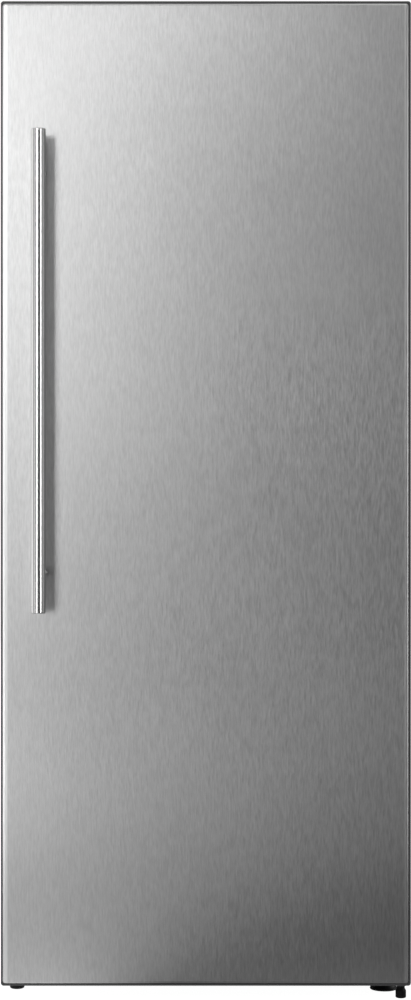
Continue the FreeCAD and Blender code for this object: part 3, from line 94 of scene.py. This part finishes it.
# ---------------------------------------------------------------- node helpers
class Graph:
    """A short way to write node graphs."""

    def __init__(self, tree):
        self.tree = tree
        tree.nodes.clear()

    def node(self, kind, settings=None, **inputs):
        """A shader node; an input goes by its name, with _ for a space, or its number, such as i0."""
        made = self.tree.nodes.new("ShaderNode" + kind)
        for key, value in (settings or {}).items():
            setattr(made, key, value)
        for key, value in inputs.items():
            numbered = key[0] == "i" and key[1:].isdigit()
            self.plug(made.inputs[int(key[1:]) if numbered else key.replace("_", " ")], value)
        return made

    def plug(self, socket, value):
        """Links a socket or sets its value; one number fills a whole colour or vector."""
        if isinstance(value, bpy.types.NodeSocket):
            self.tree.links.new(value, socket)
        elif hasattr(socket.default_value, "__len__") and not hasattr(value, "__len__"):
            socket.default_value = [value] * 3 + [1.0] * (len(socket.default_value) - 3)
        elif hasattr(value, "__len__") and len(socket.default_value) == 4 and len(value) == 3:
            socket.default_value = (*value, 1.0)
        else:
            socket.default_value = value

    def surface(self, kind, shader):
        """Makes shader what a Material, World or Light shows."""
        self.tree.links.new(shader, self.node("Output" + kind).inputs["Surface"])

    def math(self, kind, a, b=0.0):
        return self.node("Math", {"operation": kind}, i0=a, i1=b).outputs[0]

    def xyz(self, vector):
        return self.node("SeparateXYZ", Vector=vector).outputs

    def object_place(self):
        """Object coordinates, in metres."""
        return self.node("TexCoord").outputs["Object"]

    def coords(self, scale=(1.0, 1.0, 1.0)):
        """Object coordinates, in metres, with a scale."""
        return self.node("Mapping", Vector=self.object_place(), Scale=scale).outputs[0]

    def noise(self, scale, detail=2.0, rough=0.5, stretch=(1.0, 1.0, 1.0)):
        made = self.node("TexNoise", Vector=self.coords(stretch), Scale=scale, Detail=detail, Roughness=rough)
        return made.outputs["Fac"]

    def cells(self, scale, feature="F1", output="Color"):
        made = self.node("TexVoronoi", {"feature": feature}, Vector=self.coords(), Scale=scale)
        return made.outputs[output]

    def span(self, value, low, high, a=0.0, b=1.0):
        """value carried from low..high to a..b, clamped."""
        made = self.node("MapRange", {"clamp": True}, i0=value, i1=low, i2=high, i3=a, i4=b)
        return made.outputs[0]

    def spread(self, noise, a=0.0, b=1.0):
        """The range that most of a noise lies in, carried to a..b."""
        return self.span(noise, 0.3, 0.7, a, b)

    def blend(self, factor, first, second):
        """A colour between first and second."""
        made = self.node("Mix", {"data_type": "RGBA"})
        for name, value in (("Factor_Float", factor), ("A_Color", first), ("B_Color", second)):
            self.plug(next(s for s in made.inputs if s.identifier == name), value)
        return next(s for s in made.outputs if s.identifier == "Result_Color")

    def mix(self, factor, first, second):
        """A number between first and second."""
        return self.node("Mix", {"data_type": "FLOAT"}, i0=factor, i2=first, i3=second).outputs[0]

    def bump(self, height, strength, distance, normal=None):
        made = self.node("Bump", Height=height, Strength=strength, Distance=distance)
        if normal is not None:
            self.plug(made.inputs["Normal"], normal)
        return made.outputs[0]

    def edges(self, radius):
        """1 along the sharp edges of a piece and 0 elsewhere."""
        rounded = self.node("Bevel", {"samples": 4}, Radius=radius).outputs[0]
        plain = self.node("NewGeometry").outputs["Normal"]
        alike = self.node("VectorMath", {"operation": "DOT_PRODUCT"}, i0=rounded, i1=plain)
        return self.span(alike.outputs["Value"], 0.985, 0.80)

    def glow(self, strength):
        """A white emission shader."""
        return self.node("Emission", Color=WHITE, Strength=strength).outputs[0]


def material(name, settings):
    """A Principled material; settings(graph) gives the sockets' values."""
    made = bpy.data.materials.new(name)
    made.use_nodes = True
    g = Graph(made.node_tree)
    shader = g.node("BsdfPrincipled", {"distribution": "MULTI_GGX"})
    for key, value in settings(g).items():
        g.plug(shader.inputs[key], value)
    g.surface("Material", shader.outputs[0])
    return made


# ---------------------------------------------------------------- materials
def brushed_steel(g):
    """Sheet steel with an upright grain: fine hairlines, short streaks and a slow cloudiness.

    A painted highlight makes it paler along the rolled edges of the door's skin.
    """
    hair = g.noise(1.0, 3.0, 0.6, (1800.0, 300.0, 28.0))
    streak = g.noise(1.0, 4.0, 0.62, (340.0, 90.0, 56.0))
    cloud = g.noise(2.2, 2.0)
    tone = g.math("ADD", g.math("MULTIPLY", g.spread(streak, -1.0, 1.0), 0.5),
                  g.math("MULTIPLY", g.spread(hair, -1.0, 1.0), 0.3))
    tone = g.math("ADD", tone, g.math("MULTIPLY", g.spread(cloud, -1.0, 1.0), 0.12))
    colour = g.blend(g.span(tone, -0.8, 0.8), (0.490, 0.491, 0.493), (0.680, 0.680, 0.680))
    x, _, z = g.xyz(g.coords())
    # Painted highlight: paler steel along the rolled side, top and bottom edges of the door's skin.
    side_bend_highlight = g.span(g.math("ABSOLUTE", x), *SIDE_BEND_HIGHLIGHT)
    end_bend_highlight = g.span(g.math("ABSOLUTE", g.math("SUBTRACT", z, DOOR_MIDDLE_Z)), *END_BEND_HIGHLIGHT)
    colour = g.blend(g.math("MAXIMUM", side_bend_highlight, end_bend_highlight), colour, BEND_HIGHLIGHT_COLOUR)
    rough = g.span(tone, -0.8, 0.8, 0.325, 0.425)
    normal = g.bump(hair, 0.22, 0.0001, g.bump(streak, 0.40, 0.0004))
    return {"Base Color": colour, "Metallic": 1.0, "Roughness": rough, "Anisotropic": 0.75,
            "Normal": normal}


def handle_steel(g):
    """Satin polished tube, drawn lengthwise."""
    hair = g.noise(1.0, 3.0, 0.6, (900.0, 900.0, 5.0))
    colour = g.blend(hair, (0.540, 0.538, 0.535), (0.610, 0.608, 0.605))
    rough = g.spread(hair, 0.18, 0.24)
    return {"Base Color": colour, "Metallic": 1.0, "Roughness": rough,
            "Normal": g.bump(hair, 0.01, 0.0001)}


def moulded(base, light, rough, grain=2200.0, depth=0.00008, worn=None, specular=0.5):
    """Moulded plastic: a spark-eroded grain, a slow shade and, where worn is given, worn edges."""
    def settings(g):
        fine = g.noise(grain, 3.0, 0.6)
        slow = g.noise(9.0, 3.0)
        colour = g.blend(g.spread(slow), base, light)
        if worn:
            colour = g.blend(g.math("MULTIPLY", g.edges(0.0012), 0.5), colour, worn)
        return {"Base Color": colour, "Roughness": g.spread(slow, rough - 0.04, rough + 0.05),
                "Specular IOR Level": specular, "Normal": g.bump(fine, 0.35, depth)}
    return settings


def cabinet_paint(g):
    """Powder-coated steel sheet with a pebbled leather-like texture."""
    pebble = g.cells(520.0, "SMOOTH_F1", "Distance")
    slow = g.noise(3.0, 3.0)
    flake = g.noise(5200.0, 1.0)
    colour = g.blend(g.spread(slow), (0.335, 0.342, 0.352), (0.372, 0.379, 0.388))
    colour = g.blend(g.span(flake, 0.56, 0.72, 0.0, 0.35), colour, (0.55, 0.56, 0.57))
    rough = g.span(pebble, 0.0, 0.8, 0.34, 0.46)
    return {"Base Color": colour, "Metallic": 0.25, "Roughness": rough,
            "Normal": g.bump(pebble, 0.30, 0.0003)}


def zinc_sheet(g):
    """Hot-dip galvanised sheet with its spangle."""
    spangle = g.node("SeparateColor", Color=g.cells(84.0)).outputs[0]
    fine = g.noise(700.0, 3.0)
    slow = g.noise(4.0, 3.0)
    colour = g.blend(g.span(spangle, 0.0, 1.0), (0.455, 0.467, 0.478), (0.530, 0.540, 0.548))
    colour = g.blend(g.span(slow, 0.45, 0.75, 0.0, 0.35), colour, (0.42, 0.43, 0.44))
    rough = g.span(spangle, 0.0, 1.0, 0.38, 0.48)
    return {"Base Color": colour, "Metallic": 0.85, "Roughness": rough,
            "Normal": g.bump(fine, 0.12, 0.0002)}


def foam(g):
    """Cut rigid foam: small closed cells."""
    cell = g.cells(900.0, "F1", "Distance")
    slow = g.noise(14.0, 3.0)
    colour = g.blend(slow, (0.74, 0.66, 0.42), (0.86, 0.79, 0.56))
    return {"Base Color": colour, "Roughness": 0.9, "Normal": g.bump(cell, 0.6, 0.0005)}


def vacuum_formed(g):
    """White polystyrene liner, drawn over a mould: faint waviness, a soft gloss."""
    wave = g.noise(38.0, 2.0)
    fine = g.noise(900.0, 2.0)
    slow = g.noise(2.0, 2.0)
    colour = g.blend(slow, (0.770, 0.785, 0.790), (0.810, 0.822, 0.825))
    normal = g.bump(fine, 0.03, 0.0001, g.bump(wave, 0.02, 0.0015))
    return {"Base Color": colour, "Roughness": g.spread(wave, 0.29, 0.33), "Normal": normal}


def soft_vinyl(g):
    """The door seal: matt vinyl that has picked up a little dust."""
    fine = g.noise(1300.0, 3.0)
    dust = g.noise(30.0, 4.0, 0.7)
    colour = g.blend(g.span(dust, 0.35, 0.75), (0.43, 0.435, 0.44), (0.52, 0.522, 0.52))
    return {"Base Color": colour, "Roughness": g.spread(dust, 0.52, 0.66), "Sheen Weight": 0.1,
            "Normal": g.bump(fine, 0.2, 0.0002)}


def rubber(g):
    """Black rubber, dusty in places."""
    fine = g.noise(1600.0, 4.0, 0.7)
    dust = g.noise(24.0, 4.0, 0.7)
    colour = g.blend(g.span(dust, 0.45, 0.85), (0.008, 0.008, 0.0085), (0.034, 0.033, 0.031))
    return {"Base Color": colour, "Roughness": g.spread(dust, 0.60, 0.80),
            "Specular IOR Level": 0.25, "Normal": g.bump(fine, 0.3, 0.0002)}


def coated_steel(base, worn, rough):
    """Enamelled steel, rubbed brighter along its edges."""
    def settings(g):
        fine = g.noise(600.0, 3.0)
        rub = g.math("MULTIPLY", g.edges(0.0010), g.span(g.noise(120.0, 4.0, 0.7), 0.40, 0.62))
        coat = g.blend(g.noise(20.0), base, [c * 1.5 for c in base])
        return {"Base Color": g.blend(rub, coat, worn), "Metallic": 0.3,
                "Roughness": g.spread(fine, rough - 0.05, rough + 0.06),
                "Normal": g.bump(fine, 0.18, 0.0002)}
    return settings


def clear_moulding(g):
    """Clear polystyrene with the faint flow marks of its moulding."""
    flow = g.noise(26.0, 3.0, 0.55, (1.0, 1.0, 2.2))
    scuff = g.noise(1.0, 5.0, 0.7, (160.0, 160.0, 30.0))
    rough = g.span(scuff, 0.35, 0.75, 0.07, 0.20)
    return {"Base Color": (0.90, 0.955, 0.975), "Roughness": rough, "Transmission Weight": 0.88,
            "IOR": 1.49, "Normal": g.bump(flow, 0.06, 0.002)}


def glass(g):
    """Float glass with its green tint and a few finger smudges."""
    smudge = g.noise(14.0, 5.0, 0.65)
    rough = g.span(smudge, 0.50, 0.80, 0.015, 0.12)
    return {"Base Color": (0.82, 0.955, 0.915), "Roughness": rough, "Transmission Weight": 0.96, "IOR": 1.52}


def lens(g):
    """Opal lamp window with fine prisms."""
    bands = {"wave_type": "BANDS", "bands_direction": "X"}
    ridge = g.node("TexWave", bands, Vector=g.coords(), Scale=90.0).outputs["Fac"]
    colour = g.blend(g.noise(40.0), (0.86, 0.87, 0.86), (0.93, 0.935, 0.92))
    return {"Base Color": colour, "Roughness": 0.32, "Transmission Weight": 0.25, "Subsurface Weight": 0.3,
            "Subsurface Scale": 0.004, "Normal": g.bump(ridge, 0.35, 0.0006)}


def bare_metal(dark, light, rough, stain=None):
    """Uncoated metal with drawing marks, and a stain where it has aged."""
    def settings(g):
        mark = g.noise(6.0, 4.0, 0.6, (40.0, 40.0, 40.0))
        age = g.noise(17.0, 5.0, 0.7)
        colour = g.blend(g.spread(mark), dark, light)
        if stain:
            colour = g.blend(g.span(age, 0.48, 0.72, 0.0, 0.8), colour, stain)
        return {"Base Color": colour, "Metallic": 1.0,
                "Roughness": g.spread(age, rough - 0.06, rough + 0.12),
                "Normal": g.bump(mark, 0.08, 0.0003)}
    return settings


def gloss_enamel(g):
    """Thick black enamel with its orange peel and a few dust specks."""
    peel = g.noise(180.0, 2.0)
    dust = g.noise(60.0, 5.0, 0.75)
    colour = g.blend(g.span(dust, 0.55, 0.85), (0.013, 0.013, 0.014), (0.07, 0.068, 0.064))
    return {"Base Color": colour, "Roughness": g.span(dust, 0.4, 0.8, 0.16, 0.42),
            "Coat Weight": 0.35, "Coat Roughness": 0.12, "Normal": g.bump(peel, 0.14, 0.0006)}


SLOTS = {
    "door_steel": brushed_steel,
    "handle_steel": handle_steel,
    "door_frame": moulded((0.040, 0.040, 0.041), (0.054, 0.054, 0.055), 0.58),
    "cabinet_paint": cabinet_paint,
    "zinc_sheet": zinc_sheet,
    "insulation": foam,
    "white_liner": vacuum_formed,
    "gasket": soft_vinyl,
    "black_plastic": moulded((0.004, 0.004, 0.004), (0.008, 0.008, 0.0085), 0.55,
                             worn=(0.030, 0.030, 0.031), specular=0.22),
    "black_rubber": rubber,
    "hinge_steel": coated_steel((0.045, 0.046, 0.048), (0.33, 0.33, 0.33), 0.38),
    "nylon": moulded((0.66, 0.645, 0.58), (0.74, 0.725, 0.66), 0.40),
    "clear_plastic": clear_moulding,
    "shelf_glass": glass,
    "white_trim": moulded((0.735, 0.745, 0.755), (0.775, 0.785, 0.79), 0.32,
                          grain=1500.0, depth=0.00005),
    "lamp_lens": lens,
    "button_grey": moulded((0.22, 0.225, 0.23), (0.27, 0.275, 0.28), 0.46),
    "bare_aluminium": bare_metal((0.55, 0.56, 0.57), (0.72, 0.73, 0.74), 0.32),
    "copper": bare_metal((0.50, 0.22, 0.12), (0.72, 0.36, 0.22), 0.28, stain=(0.26, 0.13, 0.08)),
    "compressor_black": gloss_enamel,
    "screw_zinc": bare_metal((0.50, 0.49, 0.44), (0.66, 0.65, 0.60), 0.26),
}
MADE = {slot: material(slot, settings) for slot, settings in SLOTS.items()}

slot_of = {part["node"]: part["material_slot"] for part in frame["record"]["subparts"]}
for name, piece in frame["nodes"].items():
    piece.data.materials.clear()
    piece.data.materials.append(MADE[slot_of[name]])


# ---------------------------------------------------------------- camera
def add_camera():
    """The main view, straight at the door."""
    data = bpy.data.cameras.new("view")
    data.sensor_fit = "VERTICAL"
    data.sensor_height = SENSOR_HEIGHT
    data.lens = LENS
    data.clip_end = 60.0
    camera = bpy.data.objects.new("view", data)
    bpy.context.collection.objects.link(camera)
    camera.location = (CAMERA_X, DOOR_Y - CAMERA_DISTANCE, CAMERA_Z)
    camera.rotation_euler = (math.radians(90), 0.0, 0.0)
    bpy.context.scene.camera = camera


# ---------------------------------------------------------------- studio
def softbox(name, place, aim, size, radiance):
    """A rectangular soft light, unseen by the camera, whose face has the given brightness."""
    data = bpy.data.lights.new(name, "AREA")
    data.shape = "RECTANGLE"
    data.size, data.size_y = size
    data.energy = radiance * math.pi * size[0] * size[1]
    lamp = bpy.data.objects.new(name, data)
    bpy.context.collection.objects.link(lamp)
    lamp.location = place
    lamp.rotation_euler = (Vector(aim) - Vector(place)).to_track_quat("-Z", "Y").to_euler()
    lamp.visible_camera = False
    return lamp


def handle_softbox(name, turn, distance, z, size, radiance):
    """A softbox aimed at the handle; turn is in degrees, to the left of straight ahead."""
    angle = math.radians(turn)
    place = (HANDLE_X - distance * math.sin(angle), HANDLE_Y - distance * math.cos(angle), z)
    return softbox(name, place, (HANDLE_X, HANDLE_Y, z), size, radiance)


def edge_softbox(name, side, turn, radiance):
    """A softbox aimed at one edge of the door's skin; turn is in degrees, outward from straight ahead."""
    x, angle = side * DOOR_SIDE_X, math.radians(turn)
    out, away = EDGE_DISTANCE * math.sin(angle), EDGE_DISTANCE * math.cos(angle)
    return softbox(name, (x + side * out, DOOR_Y - away, LAMP_Z), (x, DOOR_Y, LAMP_Z), EDGE_SIZE, radiance)


def fade_up(lamp, foot_glow, head_glow):
    """Grades a soft light evenly from its foot to its head."""
    data = lamp.data
    data.use_nodes = True
    g = Graph(data.node_tree)
    up = g.xyz(g.node("NewGeometry").outputs["Parametric"])[1]
    g.surface("Light", g.glow(g.span(up, 0.0, 1.0, foot_glow, head_glow)))


def light_only(lamps, label, nodes):
    """Lets these lamps light only the given nodes."""
    lit = bpy.data.collections.new(label)
    for name in nodes:
        lit.objects.link(frame["nodes"][name])
    for lamp in lamps:
        lamp.light_linking.receiver_collection = lit


def studio():
    """Every lamp."""
    for name, (turn, foot, head, foot_glow, head_glow) in PANELS.items():
        size = (PANEL_WIDTH, head - foot)
        panel = handle_softbox(name, turn, PANEL_DISTANCE, (foot + head) / 2, size, 1.0)
        fade_up(panel, foot_glow, head_glow)
    for name, (side, glow) in RIMS.items():
        softbox(name, (side * RIM_X, RIM_Y, LAMP_Z), (0.0, RIM_Y, LAMP_Z), RIM_SIZE, glow)
    edge_lamps = [edge_softbox(name, *how) for name, how in EDGE_LAMPS.items()]
    light_only(edge_lamps, "edge_lit", ["door_skin"])
    handle_lamps = [handle_softbox(name, turn, HANDLE_LAMP_DISTANCE, LAMP_Z, HANDLE_LAMP_SIZE, glow)
                    for name, (turn, glow) in HANDLE_LAMPS.items()]
    light_only(handle_lamps, "handle_lit", ["handle_bar", "handle_caps", "handle_posts"])


def world():
    """White to the camera.

    Reflections see a bright world behind the freezer, and on the camera's side a dim studio with a pale
    wall on each side and a glow high up. Matt surfaces are lit evenly.
    """
    made = bpy.data.worlds.new("studio")
    bpy.context.scene.world = made
    made.use_nodes = True
    made.cycles.sampling_method = "NONE"
    g = Graph(made.node_tree)
    x, y, z = g.xyz(g.node("TexCoord").outputs["Generated"])
    behind = g.span(y, -0.05, 0.30, 0.0, 0.75)
    ceiling = g.span(z, 0.40, 0.80, 0.0, 0.8)
    left_wall = g.span(x, -0.40, -0.85, 0.0, 0.54)
    right_wall = g.span(x, 0.70, 0.97, 0.0, 0.45)
    seen = g.span(z, -0.05, 0.30, 0.03, 0.02)
    for lit in (behind, ceiling, left_wall, right_wall):
        seen = g.math("MAXIMUM", seen, lit)
    path = g.node("LightPath").outputs
    shiny = g.math("MAXIMUM", path["Is Glossy Ray"], path["Is Transmission Ray"])
    level = g.mix(path["Is Camera Ray"], g.mix(shiny, DIFFUSE_LEVEL, seen), 1.0)
    g.surface("World", g.node("Background", Color=WHITE, Strength=level).outputs[0])


def floor():
    """A pale floor, white to the camera, that keeps the freezer's shadow.

    Reflections see it bright left of the handle and behind the freezer, and dim elsewhere.
    """
    corners = [(-1, -1), (1, -1), (1, 1), (-1, 1)]
    mesh = bpy.data.meshes.new("studio_floor")
    mesh.from_pydata([(FLOOR_HALF * x, FLOOR_HALF * y, 0) for x, y in corners], [], [(0, 1, 2, 3)])
    piece = bpy.data.objects.new("studio_floor", mesh)
    bpy.context.collection.objects.link(piece)
    made = bpy.data.materials.new("studio_floor")
    made.use_nodes = True
    made.cycles.emission_sampling = "NONE"
    g = Graph(made.node_tree)
    path = g.node("LightPath").outputs
    plain = g.node("BsdfDiffuse", Color=FLOOR_GREY).outputs[0]
    shaded = g.node("BsdfDiffuse", Color=SHADED_GREY).outputs[0]
    white = g.node("AddShader", i0=shaded, i1=g.glow(FLOOR_GLOW)).outputs[0]
    x, y, _ = g.xyz(g.object_place())
    left, right = g.span(x, -0.56, -0.40, 0.60, 0.74), g.span(x, -0.27, -0.03, 1.0, 0.07)
    near = g.math("MAXIMUM", g.math("MULTIPLY", left, right), g.span(y, -0.90, -0.50, 0.0, 0.15))
    seen = g.glow(g.mix(g.span(y, 0.2, 0.8), near, 0.55))
    top = g.node("MixShader", i0=path["Is Glossy Ray"], i1=plain, i2=seen).outputs[0]
    top = g.node("MixShader", i0=path["Is Camera Ray"], i1=top, i2=white).outputs[0]
    g.surface("Material", top)
    mesh.materials.append(made)


add_camera()
studio()
world()
floor()
bpy.context.scene.view_settings.view_transform = "Standard"
